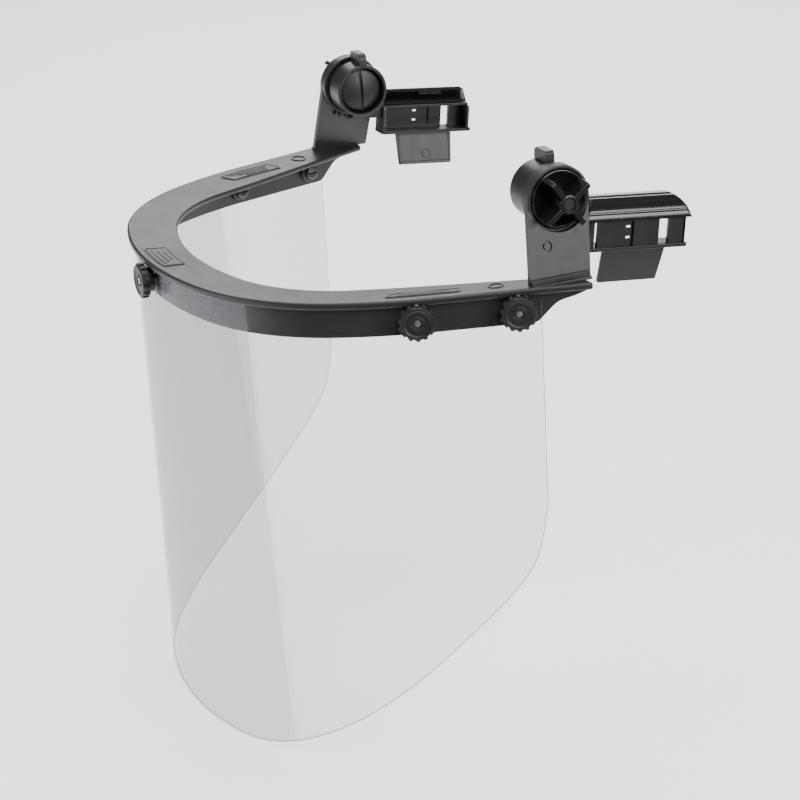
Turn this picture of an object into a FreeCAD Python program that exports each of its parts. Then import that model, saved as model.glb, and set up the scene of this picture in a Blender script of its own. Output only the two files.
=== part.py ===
"""Helmet-mounted face shield: a clear curved window clamped to a U-shaped carrier frame,
hinged on a pair of adapters that push into the accessory slots of a safety helmet.

Millimetres. The origin is the middle of the hinge axis. +X is the wearer's left, the front
is -Y and +Z is up. Each side piece is modelled on +X and mirrored for the other side.
"""
import FreeCAD
import Part

import math
import os

from FreeCAD import Vector

# ---- driving dimensions -------------------------------------------------------------------
FLANGE_TOP = -36.0            # the frame's flat top, below the hinge axis
FLANGE_THICK = 3.4
FRONT_Y = -160.0              # front centre of the flange's outer edge
THROAT_Y = -135.2             # front centre of the flange's inner edge
ARM_END_Y = 7.0               # rear end of the frame's arms
RIM_ARCS = [(185.0, 17.0), (94.0, 60.0), (183.0, 74.5)]   # radius, heading where it ends
THROAT_ARCS = [(155.0, 18.0), (70.0, 67.5)]

SKIRT_INSET = 4.0             # the skirt's outer face, in from the flange's outer edge
SKIRT_THICK = 2.5
SKIRT_BOTTOM = -54.3
SHEET_THICK = 1.0
SHEET_GAP = 0.05
SHEET_TOP = -39.9
SHEET_REAR_Y = -15.0
SHEET_BOTTOM = -273.0

STUD_R = 2.0
STUD_Z = -46.5
SIDE_STUD_Y = {"front": -72.0, "rear": -27.0}
NUT_R = 8.75
NUT_LOBES = 14
NUT_NECK_R = 6.0
NUT_HEAD = (0.45, 4.45)       # the scalloped head, out from the flange's edge
NUT_FRONT_WALL = 1.2          # plastic in front of the metal insert
INSERT_R = 3.3

AXLE_R = 4.0
THREAD_R = 3.0
COLLAR_R = 15.7
COLLAR_BORE_R = 14.2
COLLAR_X = (120.6, 127.5)
WEB_X = (121.6, 123.4)
PLATE_THICK = 3.0
PLATE_LEAN = 14.5             # degrees, inward going up
PLATE_FACE_X = 126.3          # outer face at the height of the axis
PLATE_RECESS_R = 15.1         # room for the knob's wings where the plate stands past the collar
RUNNING_GAP = 0.06

DRUM_R = 14.0
DRUM_BORE_R = 12.4
DRUM_X = (104.8, 117.9)
DRUM_FLOOR = 2.4
TAB_X = (104.8, 117.8)
TAB_TOP = 20.0
TAB_Y = 1.2
TAB_THICK = 4.2

ADAPTER_PITCH = -6.5          # degrees, the adapter's rear end hangs this far down
ADAPTER_DISC_X = (118.2, 120.2)
TRAY_X = (115.5, 125.8)
TRAY_Y = (17.4, 69.0)
TRAY_Z = (-27.0, -12.7)
TRAY_WALL = 2.0
COVER_R = 10.5
COVER_WALL = 1.5
COVER_AXIS = (116.0, -12.5)   # x, z of the quarter-round cover's centre
SLOT_Y = (20.8, 22.6)         # the tray's windows, from front to rear
LATCH_RECESS_Y = (30.2, 41.4)
LATCH_SLIT_Y = (31.0, 40.4)
SHALLOW_RECESS_Y = (49.2, 55.6)
OPENING_Y = (55.5, 60.0)
BLADE_Y = (27.5, 60.8)
BLADE_DROP = 18.6
BLADE_THICK = 1.6
BLADE_LEAN = 16.5             # degrees, inward going down

KNOB_R = 13.8
KNOB_X = (123.9, 128.3)
KNOB_HUB_R = 4.6
KNOB_TIP_X = 138.4            # the wings and hub stand well out of the bowl
KNOB_FRONT_WALL = 1.4
WING_REACH = 13.6
WING_THICK = 2.2
WING_TURN = 36.0

ORIGIN = Vector(0, 0, 0)
X_AXIS = Vector(1, 0, 0)
Y_AXIS = Vector(0, 1, 0)
Z_AXIS = Vector(0, 0, 1)


# ---- small helpers ------------------------------------------------------------------------
def disc(x_span, radius):
    """A cylinder on the hinge axis."""
    return Part.makeCylinder(radius, x_span[1] - x_span[0], Vector(x_span[0], 0, 0), X_AXIS)


def ring(x_span, outer, inner):
    return disc(x_span, outer).cut(disc(x_span, inner))


def block(x_span, y_span, z_span):
    corner = Vector(x_span[0], y_span[0], z_span[0])
    return Part.makeBox(x_span[1] - x_span[0], y_span[1] - y_span[0], z_span[1] - z_span[0], corner)


def prism(points, along):
    """A closed polygon of vectors, extruded by a vector."""
    return Part.Face(Part.makePolygon(points + points[:1])).extrude(along)


def turned(profile):
    """A polygon of (x, radius) pairs turned about the hinge axis."""
    points = [Vector(x, 0, radius) for x, radius in profile]
    return Part.Face(Part.makePolygon(points + points[:1])).revolve(ORIGIN, X_AXIS, 360)


def turn(shape, centre, axis, degrees):
    copy = shape.copy()
    copy.rotate(centre, axis, degrees)
    return copy


def fused(shapes):
    return shapes[0].fuse(shapes[1:]).removeSplitter()


def mirrored(shape):
    return shape.mirror(ORIGIN, X_AXIS)


def both_halves(half):
    return fused([half, mirrored(half)])


# ---- the frame's plan ---------------------------------------------------------------------
def arc_centres(arcs, front_y):
    """(centre x, centre y, radius, start heading, end heading) of each tangent arc."""
    found = []
    x, y, start = 0.0, front_y, 0.0
    for radius, end in arcs:
        a = math.radians(start)
        centre = (x - radius * math.sin(a), y + radius * math.cos(a))
        found.append((centre[0], centre[1], radius, start, end))
        b = math.radians(end)
        x = centre[0] + radius * math.sin(b)
        y = centre[1] - radius * math.cos(b)
        start = end
    return found


def plan_point(arc, inset, heading):
    a = math.radians(heading)
    reach = arc[2] - inset
    return Vector(arc[0] + reach * math.sin(a), arc[1] - reach * math.cos(a), 0)


def half_path(arcs, front_y, inset, rear_y):
    """Edges from the front centre to the rear end of one arm: tangent arcs, then a straight."""
    edges = []
    for arc in arc_centres(arcs, front_y):
        ends = [plan_point(arc, inset, heading) for heading in (arc[3], (arc[3] + arc[4]) / 2, arc[4])]
        edges.append(Part.Arc(ends[0], ends[1], ends[2]).toShape())
    splay = math.radians(arc[4])
    start = ends[2]
    run = rear_y - start.y
    finish = Vector(start.x + run / math.tan(splay), rear_y, 0)
    edges.append(Part.makeLine(start, finish))
    return edges, finish


def half_band(outer, inner, z_span):
    """The +X half of a U-shaped band between two plan paths."""
    outer_edges, outer_end = outer
    inner_edges, inner_end = inner
    front = Part.makeLine(outer_edges[0].valueAt(outer_edges[0].FirstParameter),
                          inner_edges[0].valueAt(inner_edges[0].FirstParameter))
    rear = Part.makeLine(outer_end, inner_end)
    loop = Part.Wire(Part.__sortEdges__(outer_edges + inner_edges + [front, rear]))
    band = Part.Face(loop).extrude(Z_AXIS * (z_span[1] - z_span[0]))
    band.translate(Z_AXIS * z_span[0])
    return band


def rim_path(inset, rear_y=ARM_END_Y):
    return half_path(RIM_ARCS, FRONT_Y, inset, rear_y)


def rim_station(y):
    """The point of the flange's outer edge at y on the +X arm, and its outward normal."""
    arcs = arc_centres(RIM_ARCS, FRONT_Y)
    for arc in arcs:
        lowest = arc[1] - arc[2] * math.cos(math.radians(arc[3]))
        highest = arc[1] - arc[2] * math.cos(math.radians(arc[4]))
        if lowest <= y <= highest:
            heading = math.acos((arc[1] - y) / arc[2])
            break
    else:
        heading = math.radians(arcs[-1][4])
    edge = plan_point(arc, 0, math.degrees(heading))
    point = Vector(edge.x + (y - edge.y) / math.tan(heading) if y > highest else edge.x, y, 0)
    return point, Vector(math.sin(heading), -math.cos(heading), 0)


def stud_stations():
    """Name, point on the flange's edge at stud height and outward normal of the five studs."""
    stations = [("front_nut", Vector(0, FRONT_Y, STUD_Z), Vector(0, -1, 0))]
    for place, y in SIDE_STUD_Y.items():
        point, normal = rim_station(y)
        point.z = STUD_Z
        stations.append((f"left_{place}_nut", point, normal))
        stations.append((f"right_{place}_nut", Vector(-point.x, point.y, point.z),
                         Vector(-normal.x, normal.y, 0)))
    return stations


def on_stud(station, reach, radius):
    """A cylinder on a stud's axis between two distances out from the flange's edge."""
    point, normal = station[1], station[2]
    return Part.makeCylinder(radius, reach[1] - reach[0], point + normal * reach[0], normal)


# ---- the carrier frame --------------------------------------------------------------------
def flange():
    throat = half_path(THROAT_ARCS, THROAT_Y, 0, ARM_END_Y)
    half = half_band(rim_path(0), throat, (FLANGE_TOP - FLANGE_THICK, FLANGE_TOP))
    return both_halves(half)


def skirt():
    """The wall under the flange; its lower edge sweeps up to the arms' ends."""
    inner = SKIRT_INSET + SKIRT_THICK
    top = FLANGE_TOP - FLANGE_THICK / 2
    band = half_band(rim_path(SKIRT_INSET), rim_path(inner), (SKIRT_BOTTOM, top))
    steps = [(-17, 0), (-12, 5), (-7, 9.5), (1, 11.6), (ARM_END_Y + 1, 14.6)]
    rise = [Vector(0, y, SKIRT_BOTTOM + up) for y, up in steps]
    curve = Part.BSplineCurve()
    curve.interpolate(rise)
    floor = SKIRT_BOTTOM - 1
    corners = [rise[-1], Vector(0, rise[-1].y, floor), Vector(0, rise[0].y, floor), rise[0]]
    loop = Part.Wire([curve.toShape()] + Part.makePolygon(corners).Edges)
    below = Part.Face(loop).extrude(X_AXIS * 200)
    return both_halves(band.cut(below))


def stud_bosses():
    inner = -(SKIRT_INSET + SKIRT_THICK)
    return [on_stud(station, (inner - 3.0, inner + 0.5), 5.2) for station in stud_stations()]


def bracket():
    """The leaning plate, its round collar and the bearing web, on the +X arm."""
    top_arc = Part.Arc(Vector(0, COLLAR_R, 0), Vector(0, 0, COLLAR_R), Vector(0, -COLLAR_R, 0))
    sides = Part.makePolygon([Vector(0, -COLLAR_R, 0), Vector(0, -20, -39.5), Vector(0, 11, -39.5),
                              Vector(0, COLLAR_R, 0)])
    face = Part.Face(Part.Wire([top_arc.toShape()] + sides.Edges))
    plate = face.extrude(X_AXIS * PLATE_THICK)
    plate.translate(X_AXIS * (PLATE_FACE_X - PLATE_THICK))
    plate = turn(plate, Vector(PLATE_FACE_X, 0, 0), Y_AXIS, -PLATE_LEAN)
    plate = plate.cut(block((100, 160), (-40, 40), (-60, FLANGE_TOP - FLANGE_THICK + 0.2)))
    lean = math.tan(math.radians(PLATE_LEAN))
    foot_x = PLATE_FACE_X - FLANGE_TOP * lean
    flare = [(-1.5, -1), (2.8, -1), (2.8, 0.3), (0.6, 1.5), (-1.0, 4.2)]
    foot = prism([Vector(foot_x + out, -19.4, FLANGE_TOP + up) for out, up in flare], Y_AXIS * 26)
    shape = fused([plate, foot, disc(COLLAR_X, COLLAR_R)])
    shape = shape.cut(disc((90, COLLAR_X[0]), COLLAR_R + 1.3))
    shape = shape.cut(disc((WEB_X[1], 150), COLLAR_BORE_R))
    shape = shape.cut(disc((COLLAR_X[1], 150), PLATE_RECESS_R))
    shape = shape.cut(disc((90, WEB_X[0]), COLLAR_BORE_R))
    shape = shape.cut(disc((90, 150), AXLE_R + RUNNING_GAP))
    return fused([shape] + detents())


def detents():
    """Click teeth and a stop boss on the inner face of the bracket plate, below the drum."""
    lean = math.tan(math.radians(PLATE_LEAN))
    pieces = []
    for degrees in (-118, -108, -98, -72, -62):
        tooth = block((0, 2.2), (-0.9, 0.9), (-18.6, -16.4))
        tooth = turn(tooth, ORIGIN, X_AXIS, degrees + 90)
        z = tooth.BoundBox.ZMin
        tooth.translate(X_AXIS * (PLATE_FACE_X - PLATE_THICK - z * lean - 2.0))
        pieces.append(tooth)
    z = -18.0
    face_x = PLATE_FACE_X - PLATE_THICK - z * lean
    boss = Part.makeCylinder(2.6, 2.6, Vector(face_x - 1.6, 0.5, z), X_AXIS)
    pieces.append(boss.cut(Part.makeCylinder(1.2, 2.0, Vector(face_x - 1.7, 0.5, z), X_AXIS)))
    return pieces


def visor_frame():
    body = fused([flange(), skirt(), bracket(), mirrored(bracket())] + stud_bosses())
    for station in stud_stations():
        body = body.cut(on_stud(station, (-20, 0.1), STUD_R + 0.1))
    return body


# ---- the clear window and what clamps it --------------------------------------------------
def visor_window():
    """A bent sheet whose side view has upright rear edges and a lower edge that sweeps to a point."""
    inner = SKIRT_INSET - SHEET_GAP
    band = half_band(rim_path(inner - SHEET_THICK), rim_path(inner), (SHEET_BOTTOM - 1, SHEET_TOP))
    sweep = Part.BSplineCurve()
    sweep.interpolate([Vector(0, SHEET_REAR_Y, -146), Vector(0, -22.5, -176), Vector(0, -58, -214),
                       Vector(0, -102, -249), Vector(0, -140, -269.5), Vector(0, -158, SHEET_BOTTOM)],
                      InitialTangent=Vector(0, 0, -1), FinalTangent=Vector(0, -1, -0.08))
    outline = Part.makePolygon([Vector(0, -158, SHEET_BOTTOM), Vector(0, -170, SHEET_BOTTOM),
                                Vector(0, -170, SHEET_TOP + 1), Vector(0, SHEET_REAR_Y, SHEET_TOP + 1),
                                Vector(0, SHEET_REAR_Y, -146)])
    side = Part.Face(Part.Wire([sweep.toShape()] + outline.Edges)).extrude(X_AXIS * 200)
    side.translate(X_AXIS * -20)
    sheet = both_halves(band.common(side))
    for station in stud_stations():
        sheet = sheet.cut(on_stud(station, (-8, 0), STUD_R + 0.2))
    return sheet


def clamp_screws():
    """Five studs with slotted pan heads on the inside of the skirt."""
    head_face = -(SKIRT_INSET + SKIRT_THICK) - 3.0
    screws = []
    for station in stud_stations():
        head = on_stud(station, (head_face - 2.2, head_face), 3.7)
        inner_face = station[1] + station[2] * (head_face - 2.2)
        slot = block((-0.5, 0.5), (-5, 5), (-0.1, 0.9))
        slot = turn(slot, ORIGIN, Y_AXIS, 90)
        slot.Placement = FreeCAD.Placement(inner_face, FreeCAD.Rotation(Vector(0, 0, 1), station[2]))
        head = head.cut(slot)
        screws.append(head.fuse(on_stud(station, (head_face, NUT_HEAD[1] - 0.5), STUD_R)).removeSplitter())
    return Part.makeCompound(screws)


def thumb_nut(station):
    """A scalloped head with a dished face on a plain neck, bored for its metal insert."""
    low, high = NUT_HEAD
    root_r = NUT_R - 1.0
    head = Part.makeCylinder(root_r, high - low)
    for lobe in range(NUT_LOBES):
        pad = Part.makeBox(2.0, 2.1, high - low - 0.6, Vector(root_r - 1.0, -1.05, 0.3))
        head = head.fuse(turn(pad, ORIGIN, Z_AXIS, 360.0 * lobe / NUT_LOBES))
    dish = Part.makeCone(4.6, 6.4, 0.7, Vector(0, 0, high - low - 0.7))
    head = head.cut(dish)
    head.translate(Z_AXIS * low)
    neck_low = -(SKIRT_INSET - SHEET_GAP - SHEET_THICK) + 0.35
    neck = Part.makeCylinder(NUT_NECK_R, low - neck_low, Vector(0, 0, neck_low))
    pocket_end = high - NUT_FRONT_WALL
    pocket = Part.makeCylinder(INSERT_R + 0.02, pocket_end + 10, Vector(0, 0, -10))
    bore = Part.makeCylinder(STUD_R + 0.2, 20, Vector(0, 0, -10))
    shape = head.fuse(neck).cut([pocket, bore]).removeSplitter()
    shape.Placement = FreeCAD.Placement(station[1], FreeCAD.Rotation(Z_AXIS, station[2]))
    return shape


def nut_insert(station):
    neck_low = -(SKIRT_INSET - SHEET_GAP - SHEET_THICK) + 0.4
    bush = on_stud(station, (neck_low, NUT_HEAD[1] - NUT_FRONT_WALL - 0.05), INSERT_R)
    return bush.cut(on_stud(station, (-10, 10), STUD_R + RUNNING_GAP))


# ---- one hinge, on the +X side ------------------------------------------------------------
def lever_drum():
    """The clamping drum: a cup on the axle with a thumb tab standing up from its rim."""
    cup = disc(DRUM_X, DRUM_R).cut(disc((DRUM_X[0], DRUM_X[1] - DRUM_FLOOR), DRUM_BORE_R))
    half = TAB_THICK / 2
    peak = TAB_TOP - half
    arch = Part.Arc(Vector(TAB_X[0], TAB_Y + half, peak), Vector(TAB_X[0], TAB_Y, TAB_TOP),
                    Vector(TAB_X[0], TAB_Y - half, peak))
    low = DRUM_BORE_R + 0.3
    sides = Part.makePolygon([Vector(TAB_X[0], TAB_Y - half, peak), Vector(TAB_X[0], TAB_Y - half, low),
                              Vector(TAB_X[0], TAB_Y + half, low), Vector(TAB_X[0], TAB_Y + half, peak)])
    tab = Part.Face(Part.Wire([arch.toShape()] + sides.Edges)).extrude(X_AXIS * (TAB_X[1] - TAB_X[0]))
    drum = fused([cup, tab]).cut(disc((90, 130), AXLE_R + RUNNING_GAP))
    return drum.cut(disc((90, DRUM_X[1] - DRUM_FLOOR), DRUM_BORE_R))


def axle_screw():
    """The axle: a domed, coin-slotted head in the drum's mouth, a bearing shank and a thread."""
    head_low, head_high = DRUM_X[0] + 1.7, DRUM_X[0] + 4.3
    head = turned([(head_low, 0), (head_low + 0.3, 5.0), (head_low + 1.3, 11.4), (head_high, 11.4),
                   (head_high, 0)])
    head = head.cut(block((head_low - 1, head_low + 1.5), (-0.85, 0.85), (-12, 12)))
    shank = disc((head_high, WEB_X[1] + 0.3), AXLE_R)
    thread = disc((WEB_X[1] + 0.3, KNOB_TIP_X - 0.3), THREAD_R)
    return fused([head, shank, thread])


def disc_spring():
    """A cone spring between the axle's head and the drum's floor."""
    near, far = DRUM_X[0] + 4.35, DRUM_X[1] - DRUM_FLOOR - 0.35
    return turned([(near, AXLE_R + 0.1), (near + 0.8, AXLE_R + 0.1), (far, 8.6), (far - 0.8, 8.6)])


def friction_washer():
    return ring((ADAPTER_DISC_X[1], ADAPTER_DISC_X[1] + 1.0), 9.5, AXLE_R + 0.1)


def cross_knob():
    """A dished knob with four wings and a hub, turned by hand to set the hinge's stiffness."""
    wall_x = KNOB_TIP_X - KNOB_FRONT_WALL
    bore_r = THREAD_R + RUNNING_GAP
    bowl = turned([(KNOB_X[0], 3.95), (KNOB_X[0], KNOB_R), (KNOB_X[1], KNOB_R), (KNOB_X[1], KNOB_R - 0.7),
                   (KNOB_X[0] + 2.7, KNOB_R - 2.2), (KNOB_X[0] + 1.6, KNOB_R - 5.0), (KNOB_X[0] + 1.1, 6.0),
                   (KNOB_X[0] + 1.1, KNOB_HUB_R), (KNOB_TIP_X, KNOB_HUB_R), (KNOB_TIP_X, bore_r),
                   (wall_x, bore_r), (wall_x, 3.95)])
    outline = [(KNOB_X[0] + 0.6, 4.2), (KNOB_TIP_X - 0.1, 4.2), (KNOB_TIP_X - 0.1, WING_REACH - 1.0),
               (KNOB_TIP_X - 1.1, WING_REACH), (KNOB_X[0] + 3.0, WING_REACH),
               (KNOB_X[0] + 0.6, WING_REACH - 0.4)]
    wing = prism([Vector(x, -WING_THICK / 2, r) for x, r in outline], Y_AXIS * WING_THICK)
    wings = [turn(wing, ORIGIN, X_AXIS, WING_TURN + 90 * quarter) for quarter in range(4)]
    return fused([bowl] + wings)


def knob_insert():
    return ring((KNOB_X[0], KNOB_TIP_X - KNOB_FRONT_WALL - 0.05), 3.9, THREAD_R + RUNNING_GAP)


def slot_adapter():
    """The open tray behind the hinge, its windows, the disc round the axle and the helmet blade."""
    low, high = TRAY_Z
    wall_x = (TRAY_X[1] - TRAY_WALL, TRAY_X[1])
    pieces = [block(wall_x, TRAY_Y, TRAY_Z),
              block((TRAY_X[0], TRAY_X[1] + 0.7), (TRAY_Y[0], TRAY_Y[1] + 1.4), (low, low + 1.8)),
              block((TRAY_X[0] + 2, TRAY_X[1] - 1.1), TRAY_Y, (high - 0.1, high + 1.3)),
              block(TRAY_X, (TRAY_Y[0], TRAY_Y[0] + 1.3), (low, high)),
              block(TRAY_X, (TRAY_Y[1] - 1.5, TRAY_Y[1]), (low, high)),
              disc(ADAPTER_DISC_X, 13.0),
              block(ADAPTER_DISC_X, (0, TRAY_Y[0] + 1), (-18, -5.6))]
    body = fused(pieces)
    window_z = (low + 1.8, high - 0.4)
    through = (TRAY_X[0] - 1, TRAY_X[1] + 1)
    body = body.cut(block(through, SLOT_Y, window_z))
    body = body.cut(block((TRAY_X[1] - 1.3, TRAY_X[1] + 1), LATCH_RECESS_Y, window_z))
    for z in (low + 5.2, low + 10.4):
        body = body.cut(block(through, LATCH_SLIT_Y, (z, z + 1.1)))
    body = body.cut(block((TRAY_X[1] - 1.1, TRAY_X[1] + 1), SHALLOW_RECESS_Y, window_z))
    body = body.cut(block((wall_x[0] - 0.1, TRAY_X[1] + 1), OPENING_Y, window_z))
    body = body.cut(disc((100, 130), AXLE_R + 0.05))
    return pitched(fused([body, blade()]))


def blade():
    """The plate that pushes into the helmet's slot, hanging from the tray and leaning inward."""
    low = TRAY_Z[0]
    top_x = TRAY_X[1] - 2.8
    outline = [Vector(top_x, BLADE_Y[0], low + 1), Vector(top_x, BLADE_Y[0] + 1.2, low - BLADE_DROP),
               Vector(top_x, BLADE_Y[1] - 1.0, low - BLADE_DROP), Vector(top_x, BLADE_Y[1], low + 1)]
    plate = prism(outline, X_AXIS * -BLADE_THICK)
    lip = block((top_x - BLADE_THICK - 0.7, top_x - 0.5), (BLADE_Y[0] + 1.4, BLADE_Y[1] - 1.2),
                (low - BLADE_DROP, low - BLADE_DROP + 1.6))
    return turn(fused([plate, lip]), Vector(top_x, 0, low + 1), Y_AXIS, BLADE_LEAN)


def adapter_cover():
    """The grooved quarter-round cover on top of the tray, with swept ends."""
    cx, cz = COVER_AXIS
    span = (TRAY_Y[0] - 1.0, TRAY_Y[1] + 2.2)
    centre = Vector(cx, span[0], cz)
    length = span[1] - span[0]
    shell = Part.makeCylinder(COVER_R, length, centre, Y_AXIS)
    shell = shell.cut(Part.makeCylinder(COVER_R - COVER_WALL, length, centre, Y_AXIS))
    shell = shell.common(block((cx, cx + 20), span, (cz, cz + 20)))
    for degrees in (22, 45, 66):
        a = math.radians(degrees)
        reach = COVER_R + 0.35
        start = Vector(cx + reach * math.cos(a), span[0], cz + reach * math.sin(a))
        shell = shell.cut(Part.makeCylinder(0.75, length, start, Y_AXIS))
    lip = block((cx + COVER_R - COVER_WALL, cx + COVER_R + 0.8), span, (cz, cz + 0.9))
    shell = fused([shell, lip])
    rear_top = Vector(0, span[1] - 10.0, cz + COVER_R + 0.1)
    rear_mid = Vector(0, span[1] - 2.9, cz + COVER_R * 0.62)
    rear_low = Vector(0, span[1], cz)
    arc = Part.Arc(rear_top, rear_mid, rear_low).toShape()
    rest = Part.makePolygon([rear_low, Vector(0, span[0], cz), Vector(0, span[0], cz + 1.5),
                             Vector(0, span[0] + 3.6, cz + COVER_R + 0.1), rear_top])
    side = Part.Face(Part.Wire([arc] + rest.Edges)).extrude(X_AXIS * 200)
    return pitched(shell.common(side))


def pitched(shape):
    return turn(shape, ORIGIN, X_AXIS, ADAPTER_PITCH)


# ---- writing the pieces -------------------------------------------------------------------
SIDE_PIECES = {
    "slot_adapter": slot_adapter,
    "adapter_cover": adapter_cover,
    "axle_screw": axle_screw,
    "disc_spring": disc_spring,
    "friction_washer": friction_washer,
    "lever_drum": lever_drum,
    "cross_knob": cross_knob,
    "knob_insert": knob_insert,
}


def all_pieces():
    pieces = {"visor_frame": visor_frame(), "visor_window": visor_window(), "clamp_screws": clamp_screws()}
    for station in stud_stations():
        pieces[station[0]] = thumb_nut(station)
        pieces[station[0] + "_insert"] = nut_insert(station)
    for name, make in SIDE_PIECES.items():
        shape = make()
        pieces["left_" + name] = shape
        pieces["right_" + name] = mirrored(shape)
    return pieces


os.makedirs("parts", exist_ok=True)
for node, shape in all_pieces().items():
    box = shape.BoundBox
    print(node, "solids", len(shape.Solids), "valid", shape.isValid(), "volume", round(shape.Volume, 1),
          [round(v, 1) for v in (box.XMin, box.XMax, box.YMin, box.YMax, box.ZMin, box.ZMax)])
    shape.exportStep(f"parts/{node}.step")
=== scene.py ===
"""A helmet-mounted face shield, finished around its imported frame.

The carrier frame, clear window, thumb nuts and both hinges are made again as detailed pieces that
ride on the frame's bodies. Shapes are worked out in millimetres and become metres as meshes are made.
"""
import math

import bmesh
import bpy
import numpy as np
from mathutils import Matrix, Vector


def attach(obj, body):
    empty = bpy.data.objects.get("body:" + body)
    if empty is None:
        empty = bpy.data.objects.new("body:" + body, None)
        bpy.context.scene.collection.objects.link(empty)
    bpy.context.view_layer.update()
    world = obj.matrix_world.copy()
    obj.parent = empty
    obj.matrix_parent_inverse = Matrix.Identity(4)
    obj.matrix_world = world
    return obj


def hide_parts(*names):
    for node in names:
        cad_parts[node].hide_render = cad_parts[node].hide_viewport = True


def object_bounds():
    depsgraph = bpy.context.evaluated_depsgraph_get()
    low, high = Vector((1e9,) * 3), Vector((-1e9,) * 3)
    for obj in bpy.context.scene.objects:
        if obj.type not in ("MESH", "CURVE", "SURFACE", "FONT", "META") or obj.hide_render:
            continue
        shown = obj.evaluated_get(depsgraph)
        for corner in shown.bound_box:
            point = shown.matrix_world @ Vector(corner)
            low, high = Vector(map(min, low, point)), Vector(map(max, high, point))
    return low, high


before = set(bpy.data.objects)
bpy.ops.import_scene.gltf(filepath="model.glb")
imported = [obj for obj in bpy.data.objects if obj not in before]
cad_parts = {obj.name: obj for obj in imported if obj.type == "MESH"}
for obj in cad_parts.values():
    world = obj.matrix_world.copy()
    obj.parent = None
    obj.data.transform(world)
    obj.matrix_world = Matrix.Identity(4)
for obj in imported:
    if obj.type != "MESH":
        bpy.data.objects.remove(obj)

CAD_BOX = [list(corner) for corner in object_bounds()]
MM = 0.001

# ---- sizes of the frame and window ----------------------------------------------------------
FLANGE_TOP = -36.0
FLANGE_THICK = 3.4
FLANGE_DISH = 0.085            # the flange falls this much per millimetre towards its inner edge
FRONT_Y = -160.0
THROAT_Y = -135.2
ARM_END_Y = 7.0
RIM_ARCS = [(185.0, 17.0), (94.0, 60.0), (183.0, 74.5)]    # radius, heading where the arc ends
THROAT_ARCS = [(155.0, 18.0), (70.0, 67.5)]
SKIRT_INSET = 4.0
SKIRT_THICK = 2.5
SKIRT_BOTTOM = -54.3
SHEET_INSET = 2.95
SHEET_THICK = 1.0
SHEET_TOP = -39.9
SHEET_REAR_Y = -15.0
SHEET_SWEEP = [(-15.0, -146.0), (-22.5, -176.0), (-58.0, -214.0), (-102.0, -249.0), (-140.0, -269.5),
               (-157.05, -272.9)]

# ---- sizes of the nuts ----------------------------------------------------------------------
STUD_Z = -46.5
SIDE_STUD_Y = {"front": -72.0, "rear": -27.0}
NUT_R = 8.75
NUT_HEAD = (0.45, 4.45)
STUD_R = 2.0

# ---- sizes of a hinge -----------------------------------------------------------------------
COLLAR_R = 15.7
COLLAR_BORE_R = 14.2
COLLAR_X = (120.6, 127.5)
WEB_X = (121.6, 123.4)
PLATE_THICK = 3.0
PLATE_LEAN = math.radians(14.5)
PLATE_FACE_X = 126.3
PLATE_RECESS_R = 15.1
DRUM_R = 14.0
DRUM_BORE_R = 12.4
DRUM_X = (104.8, 117.9)
TAB_X = (104.8, 117.8)
TAB_Y = 1.2
TAB_TOP = 19.97
AXLE_R = 4.0
AXLE_HOLE_R = 4.1
AXLE_STEP_X = 123.7             # where the axle thins to its threaded end
THREAD_R = 3.0
DISC_X = (118.2, 120.2)
DISC_R = 13.0
KNOB_X = (123.9, 128.3)
KNOB_R = 13.8
KNOB_TIP_X = 138.4
WING_REACH = 13.6
WING_TURN = math.radians(36.0)
TRAY_X = (115.5, 125.8)
TRAY_Y = (17.4, 69.0)
TRAY_Z = (-27.0, -12.7)
SLOT_Y = (20.8, 22.6)
LATCH_RECESS_Y = (30.2, 41.4)
LATCH_SLIT_Y = (31.0, 40.4)
INNER_HOLLOW_Y = (42.6, 48.0)
SHALLOW_RECESS_Y = (49.2, 55.52)
OPENING_Y = (55.5, 60.0)
ADAPTER_PITCH = math.radians(-6.5)
COVER_AXIS = (116.0, -12.5)
COVER_R = 10.5
BLADE_Y = (27.5, 60.8)
BLADE_DROP = 18.6
BLADE_LEAN = math.radians(16.5)


# ---- outlines -------------------------------------------------------------------------------
def rounded(points, radius, steps=5):
    """A closed outline with every corner rounded off; radius is one number or one for each corner."""
    out = []
    count = len(points)
    for i, corner in enumerate(points):
        r = radius[i] if isinstance(radius, (list, tuple)) else radius
        here = np.array(corner, float)
        back = np.array(points[i - 1], float) - here
        ahead = np.array(points[(i + 1) % count], float) - here
        if r <= 0:
            out.append(tuple(here))
            continue
        lengths = np.linalg.norm(back), np.linalg.norm(ahead)
        cosine = float(np.clip(back @ ahead / (lengths[0] * lengths[1]), -1, 1))
        half = math.acos(cosine) / 2
        reach = min(r / max(math.tan(half), 0.05), 0.46 * min(lengths))
        a, b = here + back / lengths[0] * reach, here + ahead / lengths[1] * reach
        bulge = 1 / (1 + 0.9 * math.cos(half) / max(math.sin(half), 0.3))
        for k in range(steps + 1):
            t = k / steps
            w = 2 * t * (1 - t) * bulge / 0.5 * 0.75
            total = (1 - t) ** 2 + w + t ** 2
            out.append(tuple(((1 - t) ** 2 * a + w * here + t ** 2 * b) / total))
    return out


def circle(radius, steps=48, centre=(0, 0)):
    turn = [2 * math.pi * k / steps for k in range(steps)]
    return [(centre[0] + radius * math.cos(a), centre[1] + radius * math.sin(a)) for a in turn]


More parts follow.
